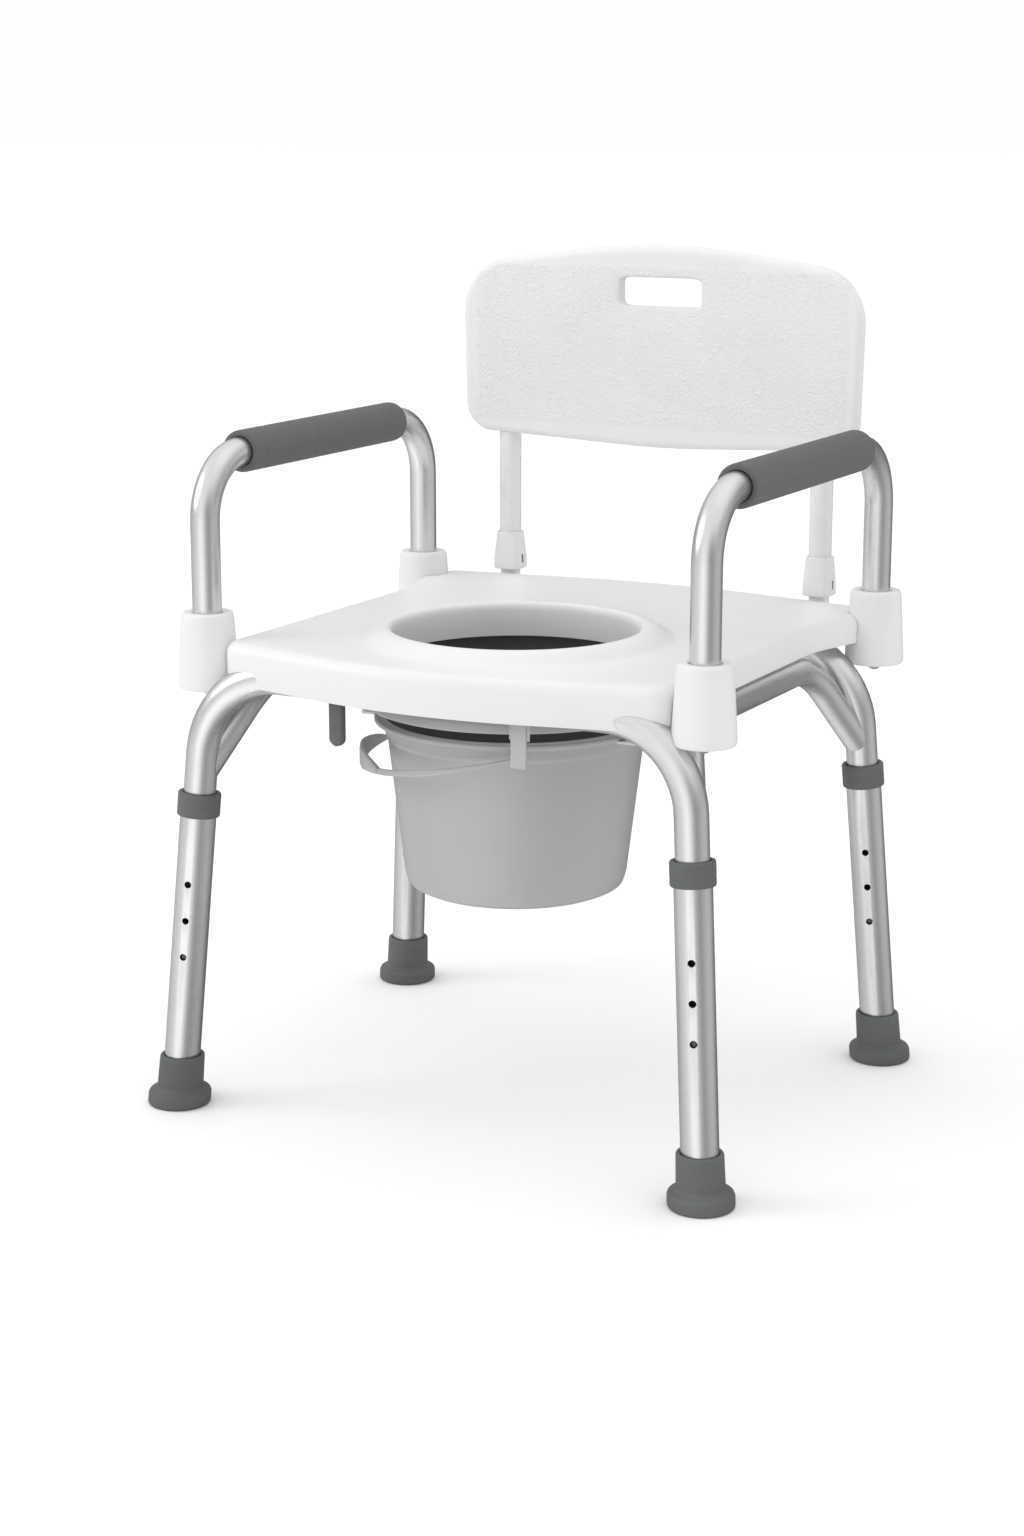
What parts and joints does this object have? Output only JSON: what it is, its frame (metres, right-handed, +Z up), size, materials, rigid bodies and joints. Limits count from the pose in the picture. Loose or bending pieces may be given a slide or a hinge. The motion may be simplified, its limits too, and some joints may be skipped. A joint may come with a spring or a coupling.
{
  "type": "commode shower chair",
  "caption": "Height-adjustable commode and shower chair with a moulded seat and lift-off back, foam-grip arms, splayed telescopic legs and a slide-out pail with a bail.",
  "frame": {"origin": "on the floor, under the middle of the chair's bounding box", "axes": "+Z up, -Y the way the sitter faces, +X to the sitter's left. Left and right in the names are as seen from in front of the chair, so left is -X"},
  "size_m": [0.568, 0.4976, 0.7405],
  "materials": {
    "satin_aluminium": "satin anodised",
    "white_plastic": "satin white, with a fine pebble grain on the back panel",
    "white_enamel": "smooth white coating",
    "grey_rubber": "matte dark grey",
    "grey_foam": "fine closed-cell foam skin",
    "pail_plastic": "light grey, semi-gloss",
    "dark_plastic": "matte charcoal",
    "zinc_steel": "bright zinc plate"
  },
  "bodies": {
    "frame": {"front_hoop": "satin_aluminium", "rear_hoop": "satin_aluminium", "side_rail_left": "satin_aluminium", "side_rail_right": "satin_aluminium", "leg_clip_fl": "zinc_steel", "leg_clip_fr": "zinc_steel", "leg_clip_rl": "zinc_steel", "leg_clip_rr": "zinc_steel", "socket_fl": "white_plastic", "socket_fr": "white_plastic", "socket_rl": "white_plastic", "socket_rr": "white_plastic", "socket_bolt_fl": "zinc_steel", "socket_bolt_fr": "zinc_steel", "socket_bolt_rl": "zinc_steel", "socket_bolt_rr": "zinc_steel", "arm_tube_left": "satin_aluminium", "arm_tube_right": "satin_aluminium", "arm_grip_left": "grey_foam", "arm_grip_right": "grey_foam", "seat_panel": "white_plastic", "splash_guard": "pail_plastic", "pail_hanger_left": "dark_plastic", "pail_hanger_right": "pail_plastic", "pail_rail_left": "white_plastic", "pail_rail_right": "white_plastic", "back_stub_left": "white_enamel", "back_stub_right": "white_enamel"},
    "leg_fl": {"leg_extension_fl": "satin_aluminium", "leg_collar_fl": "grey_rubber", "foot_fl": "grey_rubber"},
    "leg_fr": {"leg_extension_fr": "satin_aluminium", "leg_collar_fr": "grey_rubber", "foot_fr": "grey_rubber"},
    "leg_rl": {"leg_extension_rl": "satin_aluminium", "leg_collar_rl": "grey_rubber", "foot_rl": "grey_rubber"},
    "leg_rr": {"leg_extension_rr": "satin_aluminium", "leg_collar_rr": "grey_rubber", "foot_rr": "grey_rubber"},
    "button_fl": {"leg_button_fl": "dark_plastic"},
    "button_fr": {"leg_button_fr": "dark_plastic"},
    "button_rl": {"leg_button_rl": "dark_plastic"},
    "button_rr": {"leg_button_rr": "dark_plastic"},
    "backrest": {"back_panel": "white_plastic", "back_post_left": "white_enamel", "back_post_right": "white_enamel", "back_cuff_left": "white_plastic", "back_cuff_right": "white_plastic"},
    "latch_left": {"back_latch_left": "dark_plastic"},
    "latch_right": {"back_latch_right": "dark_plastic"},
    "pail": {"pail": "pail_plastic"},
    "bail": {"bail": "pail_plastic", "bail_grip": "pail_plastic"}
  },
  "joints": [
    {"name": "leg_fl_height", "type": "slide", "parent": "frame", "child": "leg_fl", "axis": [-0.0697, -0.0575, -0.9959], "range_m": [0, 0.066]},
    {"name": "leg_fr_height", "type": "slide", "parent": "frame", "child": "leg_fr", "axis": [0.0697, -0.0575, -0.9959], "range_m": [0, 0.066]},
    {"name": "leg_rl_height", "type": "slide", "parent": "frame", "child": "leg_rl", "axis": [-0.0697, 0.0575, -0.9959], "range_m": [0, 0.066]},
    {"name": "leg_rr_height", "type": "slide", "parent": "frame", "child": "leg_rr", "axis": [0.0697, 0.0575, -0.9959], "range_m": [0, 0.066]},
    {"name": "leg_fl_button_press", "type": "slide", "parent": "frame", "child": "button_fl", "axis": [-0.2448, 0.9688, -0.0388], "range_m": [0, 0.0036], "stiffness_N_per_m": 900},
    {"name": "leg_fr_button_press", "type": "slide", "parent": "frame", "child": "button_fr", "axis": [-0.2375, 0.9687, -0.0725], "range_m": [0, 0.0036], "stiffness_N_per_m": 900},
    {"name": "leg_rl_button_press", "type": "slide", "parent": "frame", "child": "button_rl", "axis": [-0.2375, 0.9687, 0.0725], "range_m": [0, 0.0036], "stiffness_N_per_m": 900},
    {"name": "leg_rr_button_press", "type": "slide", "parent": "frame", "child": "button_rr", "axis": [-0.2448, 0.9688, 0.0388], "range_m": [0, 0.0036], "stiffness_N_per_m": 900},
    {"name": "backrest_lift", "type": "slide", "parent": "frame", "child": "backrest", "axis": [0, 0, 1], "range_m": [0, 0.05]},
    {"name": "back_latch_left_press", "type": "slide", "parent": "backrest", "child": "latch_left", "axis": [-1, 0, 0], "range_m": [0, 0.0012], "stiffness_N_per_m": 700},
    {"name": "back_latch_right_press", "type": "slide", "parent": "backrest", "child": "latch_right", "axis": [-1, 0, 0], "range_m": [0, 0.0012], "stiffness_N_per_m": 700},
    {"name": "pail_slide", "type": "slide", "parent": "frame", "child": "pail", "axis": [0, 1, 0], "range_m": [0, 0.25]},
    {"name": "bail_swing", "type": "hinge", "parent": "pail", "child": "bail", "pos_m": [0, -0.05977, 0.3405], "axis": [-0.4695, 0.8829, 0], "range_deg": [-28, 0]}
  ]
}
